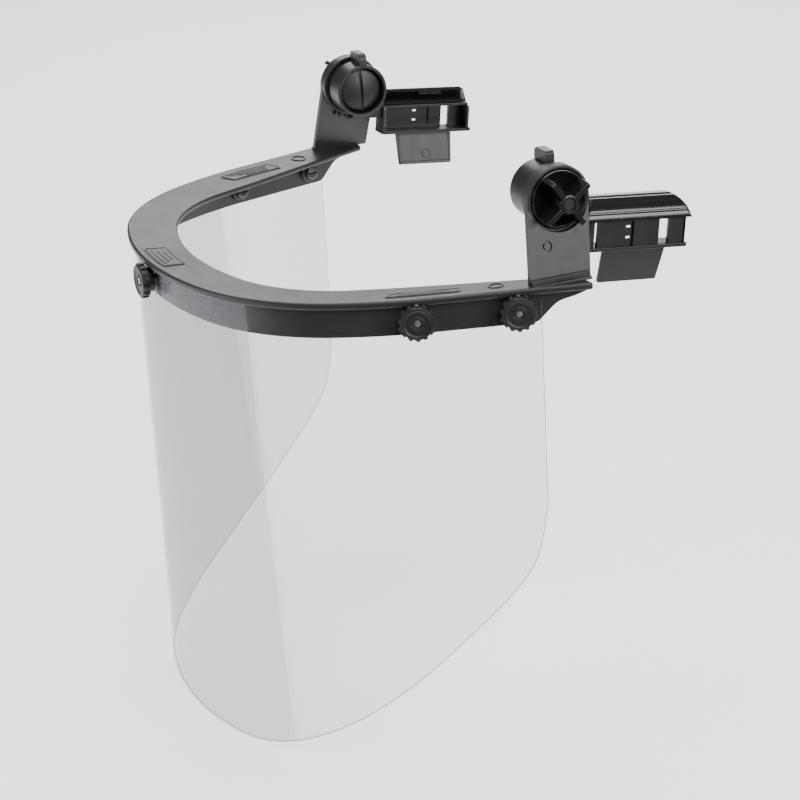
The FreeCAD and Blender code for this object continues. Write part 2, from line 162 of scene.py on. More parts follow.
def smooth_line(points, per_span=12):
    """A centripetal curve through the points, as a list of points."""
    pts = [np.array(p, float) for p in points]
    pts = [2 * pts[0] - pts[1]] + pts + [2 * pts[-1] - pts[-2]]
    out = []
    for i in range(1, len(pts) - 2):
        p0, p1, p2, p3 = pts[i - 1:i + 3]
        t = np.cumsum([0] + [math.sqrt(np.linalg.norm(b - a)) for a, b in ((p0, p1), (p1, p2), (p2, p3))])
        for u in np.linspace(t[1], t[2], per_span, endpoint=False):
            a1 = (t[1] - u) / (t[1] - t[0]) * p0 + (u - t[0]) / (t[1] - t[0]) * p1
            a2 = (t[2] - u) / (t[2] - t[1]) * p1 + (u - t[1]) / (t[2] - t[1]) * p2
            a3 = (t[3] - u) / (t[3] - t[2]) * p2 + (u - t[2]) / (t[3] - t[2]) * p3
            b1 = (t[2] - u) / (t[2] - t[0]) * a1 + (u - t[0]) / (t[2] - t[0]) * a2
            b2 = (t[3] - u) / (t[3] - t[1]) * a2 + (u - t[1]) / (t[3] - t[1]) * a3
            out.append((t[2] - u) / (t[2] - t[1]) * b1 + (u - t[1]) / (t[2] - t[1]) * b2)
    return out + [pts[-2]]


def half_walk(arcs, front_y, inset, rear_y, spacing=1.0):
    """Plan points of one arm, from the front centre to rear_y: tangent arcs and a straight."""
    points = []
    x, y, start = 0.0, front_y, 0.0
    for radius, end in arcs:
        a, b = math.radians(start), math.radians(end)
        cx, cy = x - radius * math.sin(a), y + radius * math.cos(a)
        count = max(4, int(radius * (b - a) / spacing))
        for heading in np.linspace(a, b, count, endpoint=False):
            reach = radius - inset
            points.append((cx + reach * math.sin(heading), cy - reach * math.cos(heading)))
        x, y, start = cx + radius * math.sin(b), cy - radius * math.cos(b), end
    last = (x - inset * math.sin(b), y + inset * math.cos(b))
    run = rear_y - last[1]
    count = max(4, int(run / spacing))
    for k in range(count + 1):
        points.append((last[0] + run * k / count / math.tan(b), last[1] + run * k / count))
    return np.array(points)


def both_arms(half):
    """The whole U, from the right arm's end round the front to the left arm's end."""
    return np.concatenate([half[:0:-1] * (-1, 1), half])


def spaced(points, count):
    """The same line as count points at equal distances."""
    steps = np.linalg.norm(np.diff(points, axis=0), axis=1)
    along = np.concatenate([[0], np.cumsum(steps)])
    wanted = np.linspace(0, along[-1], count)
    return np.stack([np.interp(wanted, along, points[:, k]) for k in range(points.shape[1])], axis=1)


def rim_point(y):
    """(x, y) on the flange's outer edge of the left arm, and the outward normal there."""
    walk = half_walk(RIM_ARCS, FRONT_Y, 0, ARM_END_Y, 0.25)
    i = int(np.searchsorted(walk[:, 1], y))
    step = walk[i] - walk[i - 1]
    share = (y - walk[i - 1][1]) / step[1]
    point = walk[i - 1] + share * step
    step = step / np.linalg.norm(step)
    return point, np.array([step[1], -step[0]])


# ---- meshes ---------------------------------------------------------------------------------
def mesh_from(verts, faces):
    """A mesh in metres from millimetre points, its doubles merged and its faces outward."""
    bm = bmesh.new()
    made = [bm.verts.new(Vector(v) * MM) for v in verts]
    for face in faces:
        bm.faces.new([made[i] for i in face])
    bmesh.ops.remove_doubles(bm, verts=bm.verts, dist=1e-7)
    bmesh.ops.dissolve_degenerate(bm, dist=1e-8, edges=bm.edges)
    bmesh.ops.recalc_face_normals(bm, faces=bm.faces)
    mesh = bpy.data.meshes.new("shape")
    bm.to_mesh(mesh)
    bm.free()
    return mesh


def loft(rings, loop=False):
    """Closed rings of equal length skinned in order."""
    size = len(rings[0])
    verts = [v for ring in rings for v in ring]
    faces = []
    spans = len(rings) if loop else len(rings) - 1
    for i in range(spans):
        a, b = i * size, (i + 1) % len(rings) * size
        for k in range(size):
            n = (k + 1) % size
            faces.append((a + k, a + n, b + n, b + k))
    if not loop:
        faces.append(tuple(range(size)))
        faces.append(tuple(range((len(rings) - 1) * size, len(rings) * size)))
    return mesh_from(verts, faces)


def lathe(profile, steps=120):
    """A closed outline of (x, radius) turned about the hinge axis."""
    rings = []
    for k in range(steps):
        a = 2 * math.pi * k / steps
        rings.append([(x, max(r, 0) * math.cos(a), max(r, 0) * math.sin(a)) for x, r in profile])
    return loft(rings, loop=True)


def slab(outline, plane, low, high):
    """A closed outline in the plane 'xy', 'yz' or 'xz', extruded along the third axis."""
    put = {"xy": lambda p, d: (p[0], p[1], d),
           "yz": lambda p, d: (d, p[0], p[1]),
           "xz": lambda p, d: (p[0], d, p[1])}
    return loft([[put[plane](p, d) for p in outline] for d in (low, high)])


def block(x_span, y_span, z_span):
    corners = [(x_span[0], y_span[0]), (x_span[1], y_span[0]),
               (x_span[1], y_span[1]), (x_span[0], y_span[1])]
    return slab(corners, "xy", *z_span)


def worked(mesh, setups):
    """The mesh after a list of modifiers, each (type, {setting: value})."""
    obj = bpy.data.objects.new("work", mesh)
    bpy.context.scene.collection.objects.link(obj)
    for kind, settings in setups:
        modifier = obj.modifiers.new(kind.lower(), kind)
        for key, value in settings.items():
            setattr(modifier, key, value)
    graph = bpy.context.evaluated_depsgraph_get()
    graph.update()
    result = bpy.data.meshes.new_from_object(obj.evaluated_get(graph))
    bpy.data.objects.remove(obj)
    return result


def soften(mesh, width, segments=3, angle=35):
    """Every edge sharper than angle rounded over by width."""
    return worked(mesh, [("BEVEL", {"width": width * MM, "segments": segments, "limit_method": "ANGLE",
                                    "angle_limit": math.radians(angle), "miter_outer": "MITER_ARC"})])


def carve(mesh, *cutters):
    """The mesh with the cutters' space removed."""
    helpers = []
    setups = []
    for cutter in cutters:
        helper = bpy.data.objects.new("cutter", cutter)
        bpy.context.scene.collection.objects.link(helper)
        helpers.append(helper)
        setups.append(("BOOLEAN", {"operation": "DIFFERENCE", "solver": "EXACT", "object": helper}))
    result = worked(mesh, setups)
    for helper in helpers:
        bpy.data.objects.remove(helper)
    return result


def join(*meshes):
    bm = bmesh.new()
    for mesh in meshes:
        bm.from_mesh(mesh)
    result = bpy.data.meshes.new("joined")
    bm.to_mesh(result)
    bm.free()
    return result


def placed(mesh, matrix):
    """A copy of the mesh under a matrix whose offsets are in metres."""
    copy = mesh.copy()
    copy.transform(matrix)
    if matrix.determinant() < 0:
        copy.flip_normals()
    return copy


def mirrored(mesh):
    return placed(mesh, Matrix.Scale(-1, 4, Vector((1, 0, 0))))


def turned(mesh, angle, axis, centre=(0, 0, 0)):
    to = Matrix.Translation(Vector(centre) * MM)
    return placed(mesh, to @ Matrix.Rotation(angle, 4, axis) @ to.inverted())


def pitched(mesh):
    return turned(mesh, ADAPTER_PITCH, "X")


def piece(name, mesh, body, finishes, replaces=(), crease=42):
    """The finished object: smooth where it should be, its finish in its slots, riding on its body."""
    faces = [face.material_index for face in mesh.polygons]
    mesh.shade_smooth()
    mesh.set_sharp_from_angle(angle=math.radians(crease))
    mesh = worked(mesh, [("WEIGHTED_NORMAL", {"keep_sharp": True, "weight": 60})])
    mesh.name = name
    obj = bpy.data.objects.new(name, mesh)
    bpy.context.scene.collection.objects.link(obj)
    mesh.materials.clear()
    for finish in finishes:
        mesh.materials.append(finish)
    mesh.polygons.foreach_set("material_index", faces)
    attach(obj, body)
    if replaces:
        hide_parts(*replaces)
    return obj


# ---- the geometry node tree for what repeats -------------------------------------------------
def ring_tree(name):
    """Copies of the object's own mesh in a ring round the Z axis, realized, with a material."""
    tree = bpy.data.node_groups.new(name, "GeometryNodeTree")
    face = tree.interface
    face.new_socket("Geometry", in_out="INPUT", socket_type="NodeSocketGeometry")
    face.new_socket("Count", in_out="INPUT", socket_type="NodeSocketInt").default_value = 4
    face.new_socket("Start", in_out="INPUT", socket_type="NodeSocketFloat")
    face.new_socket("Material", in_out="INPUT", socket_type="NodeSocketMaterial")
    face.new_socket("Geometry", in_out="OUTPUT", socket_type="NodeSocketGeometry")
    nodes, link = tree.nodes, tree.links.new
    given, result = nodes.new("NodeGroupInput"), nodes.new("NodeGroupOutput")
    line = nodes.new("GeometryNodeMeshLine")
    line.mode = "OFFSET"
    link(given.outputs["Count"], line.inputs["Count"])
    copies = nodes.new("GeometryNodeInstanceOnPoints")
    link(line.outputs["Mesh"], copies.inputs["Points"])
    link(given.outputs["Geometry"], copies.inputs["Instance"])
    index = nodes.new("GeometryNodeInputIndex")
    vector = nodes.new("ShaderNodeCombineXYZ")
    line.inputs["Offset"].default_value = (0, 0, 0)
    share = nodes.new("ShaderNodeMath")
    share.operation = "DIVIDE"
    share.inputs[0].default_value = 2 * math.pi
    link(given.outputs["Count"], share.inputs[1])
    angle = nodes.new("ShaderNodeMath")
    angle.operation = "MULTIPLY_ADD"
    link(index.outputs[0], angle.inputs[0])
    link(share.outputs[0], angle.inputs[1])
    link(given.outputs["Start"], angle.inputs[2])
    link(angle.outputs[0], vector.inputs["Z"])
    link(vector.outputs[0], copies.inputs["Rotation"])
    real = nodes.new("GeometryNodeRealizeInstances")
    paint = nodes.new("GeometryNodeSetMaterial")
    link(copies.outputs[0], real.inputs[0])
    link(real.outputs[0], paint.inputs["Geometry"])
    link(given.outputs["Material"], paint.inputs["Material"])
    link(paint.outputs[0], result.inputs[0])
    return tree


RING_TREE = ring_tree("ring of copies")


def repeated(unit, tree, material, **values):
    """The unit mesh put through the tree above, as a plain mesh."""
    obj = bpy.data.objects.new("unit", unit)
    bpy.context.scene.collection.objects.link(obj)
    modifier = obj.modifiers.new("copies", "NODES")
    modifier.node_group = tree
    for item in tree.interface.items_tree:
        if item.in_out == "INPUT" and item.name in values:
            modifier[item.identifier] = values[item.name]
        if item.in_out == "INPUT" and item.name == "Material":
            modifier[item.identifier] = material
    graph = bpy.context.evaluated_depsgraph_get()
    graph.update()
    result = bpy.data.meshes.new_from_object(obj.evaluated_get(graph))
    bpy.data.objects.remove(obj)
    return result


# ---- finishes -------------------------------------------------------------------------------
class Value:
    """A shader socket that can be used in arithmetic."""

    def __init__(self, finish, socket):
        self.finish = finish
        self.socket = socket

    def _maths(self, operation, first, second):
        return self.finish.node("ShaderNodeMath", {"operation": operation}, {0: first, 1: second})

    def __add__(self, other):
        return self._maths("ADD", self, other)

    def __radd__(self, other):
        return self._maths("ADD", other, self)

    def __sub__(self, other):
        return self._maths("SUBTRACT", self, other)

    def __rsub__(self, other):
        return self._maths("SUBTRACT", other, self)

    def __mul__(self, other):
        return self._maths("MULTIPLY", self, other)

    def __rmul__(self, other):
        return self._maths("MULTIPLY", other, self)


class Finish:
    """A material under construction: one Principled shader and the nodes that feed it."""

    def __init__(self, name, **sockets):
        self.material = bpy.data.materials.new(name)
        self.material.use_nodes = True
        self.tree = self.material.node_tree
        self.tree.nodes.clear()
        self.out = self.tree.nodes.new("ShaderNodeOutputMaterial")
        self.shader = self.tree.nodes.new("ShaderNodeBsdfPrincipled")
        self.tree.links.new(self.shader.outputs[0], self.out.inputs["Surface"])
        for key, value in sockets.items():
            self.shader.inputs[key.replace("_", " ")].default_value = value

    def node(self, kind, settings=None, inputs=None, output=0):
        """One node: its settings first, then its sockets' values or links."""
        node = self.tree.nodes.new(kind)
        for key, value in (settings or {}).items():
            setattr(node, key, value)
        for key, value in (inputs or {}).items():
            if isinstance(value, Value):
                self.tree.links.new(value.socket, node.inputs[key])
            else:
                node.inputs[key].default_value = value
        return Value(self, node.outputs[output])

    def feed(self, name, value):
        self.tree.links.new(value.socket, self.shader.inputs[name])

    def where(self):
        return self.node("ShaderNodeTexCoord", output="Object")

    def noise(self, size, detail=3.0, rough=0.5, stretch=None):
        """Noise whose features are about size millimetres."""
        place = self.where()
        if stretch:
            place = self.node("ShaderNodeMapping", None, {"Vector": place, "Scale": stretch})
        return self.node("ShaderNodeTexNoise", None,
                         {"Vector": place, "Scale": 1 / (size * MM), "Detail": detail, "Roughness": rough})

    def spread(self, value, low, high):
        """A 0-1 value stretched to low-high."""
        return self.node("ShaderNodeMapRange", {"clamp": True}, {0: value, 1: 0.3, 2: 0.7, 3: low, 4: high})

    def colours(self, share, first, second):
        return self.node("ShaderNodeMix", {"data_type": "RGBA"},
                         {0: share, 6: (*first, 1), 7: (*second, 1)}, 2)

    def bump(self, height, strength, distance):
        self.feed("Normal", self.node("ShaderNodeBump", None,
                                      {"Height": height, "Strength": strength, "Distance": distance * MM}))


def moulded(name, dark, light, gloss, grain, depth, shine=0.5, coat=0.0):
    """Moulded plastic: mould grain, soft flow marks and a slightly uneven gloss."""
    finish = Finish(name, Specular_IOR_Level=shine, Coat_Roughness=0.25)
    flow = finish.noise(38.0, 2.0, 0.45, (1.0, 0.6, 1.4))
    fine = finish.noise(grain, 4.0, 0.62)
    pits = finish.node("ShaderNodeTexVoronoi", {"feature": "SMOOTH_F1"},
                       {"Vector": finish.where(), "Scale": 1 / (grain * 1.7 * MM), "Smoothness": 0.6})
    scuff = finish.noise(5.5, 5.0, 0.7, (0.5, 1.0, 1.0))
    tone = finish.spread(flow * 0.65 + fine * 0.35, 0.0, 1.0)
    finish.feed("Base Color", finish.colours(tone, dark, light))
    rough = finish.spread(flow * 0.5 + scuff * 0.5, gloss[0], gloss[1])
    finish.feed("Roughness", rough + (fine - 0.5) * 0.08)
    if coat:
        finish.feed("Coat Weight", finish.spread(scuff, coat * 0.75, coat))
    finish.bump(fine * 0.6 + pits * 0.5, 0.55, depth)
    return finish.material


def turned_metal(name, colour, gloss):
    """Turned and plated metal with faint tool rings and stains."""
    finish = Finish(name, Metallic=1.0)
    streak = finish.noise(0.35, 3.0, 0.6, (1.0, 1.0, 6.0))
    stain = finish.noise(2.6, 3.0, 0.5)
    darker = tuple(c * 0.62 for c in colour)
    finish.feed("Base Color", finish.colours(finish.spread(stain, 0.0, 1.0), darker, colour))
    finish.feed("Roughness", finish.spread(streak, gloss[0], gloss[1]))
    finish.bump(streak, 0.25, 0.03)
    return finish.material


def clear_sheet(name):
    """Clear polycarbonate: mostly see-through, mirror-like at a slant, with a breath of haze."""
    finish = Finish(name, Roughness=0.03, IOR=1.585)
    haze = finish.noise(60.0, 2.0, 0.4)
    finish.feed("Base Color", finish.colours(haze, (0.45, 0.46, 0.48), (0.52, 0.53, 0.55)))
    through = finish.tree.nodes.new("ShaderNodeBsdfTransparent")
    through.inputs[0].default_value = (0.932, 0.932, 0.938, 1)
    mixer = finish.tree.nodes.new("ShaderNodeMixShader")
    slant = finish.node("ShaderNodeFresnel", None, {"IOR": 1.5})
    share = slant * 0.4 + finish.spread(haze, 0.004, 0.012)
    finish.tree.links.new(share.socket, mixer.inputs[0])
    finish.tree.links.new(through.outputs[0], mixer.inputs[1])
    finish.tree.links.new(finish.shader.outputs[0], mixer.inputs[2])
    finish.tree.links.new(mixer.outputs[0], finish.out.inputs["Surface"])
    return finish.material


def cut_edge(name):
    """The sawn edge of the clear sheet, which gathers light into a cool grey line."""
    finish = Finish(name, Roughness=0.35, IOR=1.585, Alpha=0.72)
    saw = finish.noise(0.6, 3.0, 0.6, (1.0, 1.0, 0.2))
    tone = finish.spread(saw, 0.0, 1.0)
    finish.feed("Base Color", finish.colours(tone, (0.30, 0.33, 0.42), (0.52, 0.56, 0.66)))
    finish.bump(saw, 0.3, 0.05)
    return finish.material


FRAME_BLACK = moulded("frame moulding", (0.020, 0.017, 0.0175), (0.033, 0.028, 0.029), (0.38, 0.50),
                      0.30, 0.03)
HINGE_BLACK = moulded("hinge moulding", (0.011, 0.011, 0.011), (0.019, 0.019, 0.0185), (0.32, 0.44),
                      0.24, 0.022)
GLOSS_BLACK = moulded("polished moulding", (0.006, 0.006, 0.006), (0.011, 0.011, 0.011), (0.14, 0.24),
                      0.5, 0.008, coat=0.5)
NUT_BLACK = moulded("nut moulding", (0.013, 0.013, 0.013), (0.022, 0.022, 0.022), (0.40, 0.52), 0.22, 0.03)
CLEAR = clear_sheet("clear sheet")
CLEAR_EDGE = cut_edge("clear sheet edge")
STUD_STEEL = turned_metal("plated studs", (0.78, 0.77, 0.75), (0.18, 0.34))
BLACK_STEEL = turned_metal("blackened heads", (0.10, 0.10, 0.11), (0.32, 0.46))
BUSH_STEEL = turned_metal("turned bushes", (0.62, 0.60, 0.56), (0.25, 0.40))
SPRING_STEEL = turned_metal("blued spring", (0.30, 0.31, 0.35), (0.28, 0.42))
NYLON = moulded("natural nylon", (0.52, 0.50, 0.45), (0.66, 0.64, 0.58), (0.38, 0.5), 0.4, 0.02)


# ---- the carrier frame ----------------------------------------------------------------------
STATIONS = 321
OUTER = spaced(both_arms(half_walk(RIM_ARCS, FRONT_Y, 0, ARM_END_Y)), STATIONS)
THROAT = spaced(both_arms(half_walk(THROAT_ARCS, THROAT_Y, 0, ARM_END_Y)), STATIONS)
RIM_ALONG = np.concatenate([[0], np.cumsum(np.linalg.norm(np.diff(OUTER, axis=0), axis=1))])
RIM_ALONG -= RIM_ALONG[-1] / 2


def along_at(y):
    """How far along the left rim a plan position is."""
    half = OUTER[len(OUTER) // 2:]
    return float(np.interp(y, half[:, 1], RIM_ALONG[len(OUTER) // 2:]))


def on_flange(along, across, height):
    """A point over the flange: along the outer edge from the front centre, in from it, above the top."""
    outer = np.array([np.interp(along, RIM_ALONG, OUTER[:, k]) for k in (0, 1)])
    inner = np.array([np.interp(along, RIM_ALONG, THROAT[:, k]) for k in (0, 1)])
    inward = (inner - outer) / np.linalg.norm(inner - outer)
    spot = outer + inward * across
    return (spot[0], spot[1], FLANGE_TOP - FLANGE_DISH * across + height)


def flange_mesh():
    rings = []
    for outer, inner in zip(OUTER, THROAT):
        width = float(np.linalg.norm(inner - outer))
        inward = (inner - outer) / width
        fall = FLANGE_DISH * width
        section = rounded([(0, 0), (width, -fall), (width, -fall - 2.6), (6.0, -FLANGE_THICK - 0.5),
                           (0, -FLANGE_THICK)], [1.3, 1.1, 0.9, 0, 1.0], 5)
        rings.append([(outer[0] + inward[0] * a, outer[1] + inward[1] * a, FLANGE_TOP + h)
                      for a, h in section])
    return soften(loft(rings), 0.9, 3, 60)


def on_flange_grid(length, width, along, across, low, high, radius=1.2):
    """A raised, round-cornered pad that follows the rim, built in strips across its length."""
    rings = []
    for t in np.linspace(-1, 1, 41):
        step = abs(t) * length / 2 - (length / 2 - radius)
        trim = radius - math.sqrt(max(0.0, radius ** 2 - step ** 2)) if step > 0 else 0.0
        half = max(width / 2 - trim, 0.05)
        place = along + t * length / 2
        section = [(-half, low), (-half, high - 0.1), (-half + 0.1, high),
                   (half - 0.1, high), (half, high - 0.1), (half, low)]
        rings.append([on_flange(place, across + a, h) for a, h in section])
    return loft(rings)


def label(along, across, length, width):
    """A blank label: a low pad with a raised border line and plain bars on it."""
    shapes = [on_flange_grid(length, width, along, across, -0.4, 0.3, 1.6)]
    for edge in (-1, 1):
        side = across + edge * (width / 2 - 0.9)
        end = along + edge * (length / 2 - 0.9)
        shapes.append(on_flange_grid(length - 2.4, 0.5, along, side, 0.1, 0.55, 0.2))
        shapes.append(on_flange_grid(0.5, width - 2.4, end, across, 0.1, 0.55, 0.2))
    for row in range(3):
        place = across + (row - 1) * width * 0.22
        shapes.append(on_flange_grid(length * (0.72 - 0.14 * row), 1.1, along - row, place, 0.1, 0.6, 0.4))
    return shapes


def flange_marks():
    """Blank label pads with plain bars, and the round ejector marks by each bracket."""
    arm_label, mark = along_at(-70.0), along_at(-36.0)
    shapes = label(0.0, 9.5, 33.0, 12.0)
    shapes += label(arm_label, 9.5, 36.0, 7.5)
    shapes += label(-arm_label, 12.0, 34.0, 10.0)
    for side in (-1, 1):
        centre = (side * mark, 10.5)
        outer, inner = circle(4.1, 48, centre), circle(3.4, 48, centre)
        rings = []
        for outline, h in ((outer, -0.2), (outer, 0.45), (inner, 0.45), (inner, -0.2)):
            rings.append([on_flange(*p, h) for p in outline])
        shapes.append(loft(rings, loop=True))
    return shapes


def skirt_mesh():
    """The wall under the flange, its lower edge rising to the ends of the arms."""
    rise = np.array(smooth_line([(-18, SKIRT_BOTTOM), (-16, SKIRT_BOTTOM + 0.7), (-12, SKIRT_BOTTOM + 4.6),
                                 (-7, SKIRT_BOTTOM + 9.0), (1, SKIRT_BOTTOM + 11.4),
                                 (ARM_END_Y, SKIRT_BOTTOM + 13.6)]))
    outer = both_arms(half_walk(RIM_ARCS, FRONT_Y, SKIRT_INSET, ARM_END_Y))
    inner = both_arms(half_walk(RIM_ARCS, FRONT_Y, SKIRT_INSET + SKIRT_THICK, ARM_END_Y))
    outer, inner = spaced(outer, 421), spaced(inner, 421)
    rings = []
    for a, b in zip(outer, inner):
        low = float(np.interp(a[1], rise[:, 0], rise[:, 1]))
        section = rounded([(0, -37.4), (0, low), (1, low), (1, -37.4)], [0, 0.8, 0.8, 0], 4)
        rings.append([(a[0] + (b[0] - a[0]) * t, a[1] + (b[1] - a[1]) * t, z) for t, z in section])
    return soften(loft(rings), 0.5, 2, 60)


def stud_stations():
    """Nut name, the point on the flange's edge at stud height and the outward normal of each stud."""
    found = [("front_nut", (0.0, FRONT_Y), (0.0, -1.0))]
    for place, y in SIDE_STUD_Y.items():
        point, normal = rim_point(y)
        for side, name in ((1, "left"), (-1, "right")):
            found.append((f"{name}_{place}_nut", (side * point[0], point[1]), (side * normal[0], normal[1])))
    return found


def stud_matrix(point, normal):
    """Carries a shape made on +X from the origin onto a stud, X pointing outward."""
    angle = math.atan2(normal[1], normal[0])
    spot = Vector((point[0], point[1], STUD_Z)) * MM
    return Matrix.Translation(spot) @ Matrix.Rotation(angle, 4, "Z")


def bosses():
    face = -(SKIRT_INSET + SKIRT_THICK)
    outline = rounded([(face - 3.0, 0.3), (face - 3.0, 5.2), (face + 0.6, 5.6), (face + 0.6, 0.3)],
                      [0, 0.6, 0, 0], 3)
    unit = lathe(outline, 48)
    return [placed(unit, stud_matrix(point, normal)) for _, point, normal in stud_stations()]


def collar_mesh():
    ring = lathe(rounded([(COLLAR_X[0], COLLAR_BORE_R), (COLLAR_X[0], COLLAR_R), (COLLAR_X[1], COLLAR_R),
                          (COLLAR_X[1], COLLAR_BORE_R)], [0.3, 0.5, 0.55, 0.35], 4), 144)
    web = lathe([(WEB_X[0], AXLE_HOLE_R), (WEB_X[0], COLLAR_BORE_R + 0.5),
                 (WEB_X[1], COLLAR_BORE_R + 0.5), (WEB_X[1], AXLE_HOLE_R)], 96)
    return [ring, web]


def bracket_mesh():
    """The leaning plate with its foot, ring mark, click teeth and collar, on the left arm."""
    arch = [(COLLAR_R * math.cos(a), COLLAR_R * math.sin(a)) for a in np.linspace(0, math.pi, 49)]
    outline = arch + [(-19.6, -37.6), (11.0, -37.6)]
    plate = slab(outline, "yz", PLATE_FACE_X - PLATE_THICK, PLATE_FACE_X)
    mark = lathe([(PLATE_FACE_X - 0.8, 1.5), (PLATE_FACE_X - 0.8, 2.6), (PLATE_FACE_X + 2, 2.6),
                  (PLATE_FACE_X + 2, 1.5)], 40)
    plate = carve(plate, placed(mark, Matrix.Translation(Vector((0, -8.7, -20.8)) * MM)))
    plate = turned(plate, -PLATE_LEAN, "Y", (PLATE_FACE_X, 0, 0))
    hole = lathe([(80, 0), (80, COLLAR_R + 1.3), (COLLAR_X[0], COLLAR_R + 1.3),
                  (COLLAR_X[0], COLLAR_R - 0.6), (150, COLLAR_R - 0.6), (150, 0)], 144)
    recess = lathe([(COLLAR_X[1] + 0.05, 0), (COLLAR_X[1] + 0.05, PLATE_RECESS_R),
                    (150, PLATE_RECESS_R), (150, 0)], 144)
    plate = soften(carve(plate, hole, recess), 0.4, 3, 50)
    lean = math.tan(PLATE_LEAN)
    foot_x = PLATE_FACE_X - FLANGE_TOP * lean
    sweep = [(foot_x + 3.0 - 3.2 * math.sin(a), FLANGE_TOP + 3.4 - 3.2 * math.cos(a))
             for a in np.linspace(0.0, 1.2, 9)]
    sole = [(foot_x - 2.0, FLANGE_TOP - 1.2), (foot_x + 3.2, FLANGE_TOP - 1.2)]
    foot = soften(slab(sole + sweep + [(foot_x - 3.0, -32.5)], "xz", -19.2, 10.4), 0.3, 2, 60)
    shapes = [plate, foot] + collar_mesh()
    for degrees in (-118, -108, -98, -72, -62):
        tooth = slab(rounded([(-0.9, 16.4), (0.9, 16.4), (0.35, 18.6), (-0.5, 18.6)], 0.25, 2), "yz", 0, 2.4)
        tooth = turned(soften(tooth, 0.2, 2), math.radians(degrees - 90), "X")
        low = min(v.co.z for v in tooth.vertices) / MM
        shift = PLATE_FACE_X - PLATE_THICK - low * lean - 2.0
        shapes.append(placed(tooth, Matrix.Translation(Vector((shift, 0, 0)) * MM)))
    face_x = PLATE_FACE_X - PLATE_THICK + 18 * lean
    boss = rounded([(face_x - 1.6, 1.2), (face_x - 1.6, 2.6), (face_x + 1, 2.6), (face_x + 1, 1.2)], 0.2, 2)
    boss = lathe(boss, 40)
    shapes.append(placed(boss, Matrix.Translation(Vector((0, 0.5, -18)) * MM)))
    return join(*shapes)


def carrier_frame():
    left = bracket_mesh()
    mesh = join(flange_mesh(), skirt_mesh(), left, mirrored(left), *bosses(), *flange_marks())
    piece("carrier_frame", mesh, "carrier", [FRAME_BLACK], ["visor_frame"])


# ---- the clear window -----------------------------------------------------------------------
def clear_window():
    """The bent sheet: upright rear edges, round corners and a lower edge that sweeps to the chin."""
    sweep = np.array(smooth_line(SHEET_SWEEP, 26))
    sweep[:, 0] = np.minimum(sweep[:, 0], SHEET_REAR_Y)
    sweep[:, 1] = np.maximum(sweep[:, 1], SHEET_SWEEP[-1][1])
    rows = 30
    columns = []
    insets = (SHEET_INSET, SHEET_INSET + SHEET_THICK)
    walks = [half_walk(RIM_ARCS, FRONT_Y, inset, ARM_END_Y, 0.5) for inset in insets]
    for y, z in sweep:
        slack = max(0.0, y - (SHEET_REAR_Y - 3.0))
        top = SHEET_TOP - (3.0 - math.sqrt(max(0.0, 9.0 - slack * slack)))
        pair = []
        for walk in walks:
            spot = max(y, float(walk[0][1]))
            x = float(np.interp(spot, walk[:, 1], walk[:, 0]))
            pair.append([(x, spot, top + (z - top) * k / rows) for k in range(rows + 1)])
        columns.append(pair)
    right = [[[(-x, y, z) for x, y, z in line] for line in pair] for pair in columns[:-1]]
    columns = right + columns[::-1]
    verts, faces, edge_faces = [], [], []
    for outer, inner in columns:
        verts.extend(outer + inner)
    size = 2 * (rows + 1)
    for c in range(len(columns) - 1):
        a, b = c * size, (c + 1) * size
        for k in range(rows):
            faces.append((a + k, a + k + 1, b + k + 1, b + k))
            m = rows + 1 + k
            faces.append((a + m, b + m, b + m + 1, a + m + 1))
        edge_faces.append((a, b, b + rows + 1, a + rows + 1))
        edge_faces.append((a + rows, a + 2 * rows + 1, b + 2 * rows + 1, b + rows))
    for c, flip in ((0, False), (len(columns) - 1, True)):
        a = c * size
        for k in range(rows):
            quad = (a + k, a + rows + 1 + k, a + rows + 2 + k, a + k + 1)
            edge_faces.append(quad[::-1] if flip else quad)
    mesh = bpy.data.meshes.new("window")
    mesh.from_pydata([Vector(v) * MM for v in verts], [], faces + edge_faces)
    bm = bmesh.new()
    bm.from_mesh(mesh)
    bm.faces.ensure_lookup_table()
    for i, face in enumerate(bm.faces):
        face.material_index = 1 if i >= len(faces) else 0
    bmesh.ops.remove_doubles(bm, verts=bm.verts, dist=1e-6)
    bmesh.ops.recalc_face_normals(bm, faces=bm.faces)
    bm.to_mesh(mesh)
    bm.free()
    piece("clear_window", mesh, "carrier", [CLEAR, CLEAR_EDGE], ["visor_window"])


# ---- nuts and studs -------------------------------------------------------------------------
def nut_mesh():
    """A scalloped nut made on +X: dished face, rounded lobes and a plain neck."""
    low, high = NUT_HEAD
    neck = -SHEET_INSET + 0.4
    core = lathe(rounded([(neck, 2.5), (neck, 6.0), (low, 6.0), (low, NUT_R - 0.95), (high, NUT_R - 0.95),
                          (high, 6.5), (high - 0.45, 5.6), (high - 0.45, 3.4),
                          (high - 0.1, 3.1), (high - 0.1, 2.3)],
                         [0, 0.4, 0.3, 0.4, 0.75, 0.3, 0.4, 0.3, 0.25, 0.2], 4), 112)
    pad = rounded([(NUT_R - 2.2, -1.15), (NUT_R - 0.03, -0.95), (NUT_R - 0.03, 0.95), (NUT_R - 2.2, 1.15)],
                  [0, 0.45, 0.45, 0], 3)
    pad = soften(slab(pad, "xy", low + 0.25, high - 0.55), 0.28, 3, 50)
    lobes = repeated(pad, RING_TREE, NUT_BLACK, Count=14)
    on_x = Matrix.Rotation(math.radians(90), 4, "Y")
    return join(core, placed(lobes, on_x))


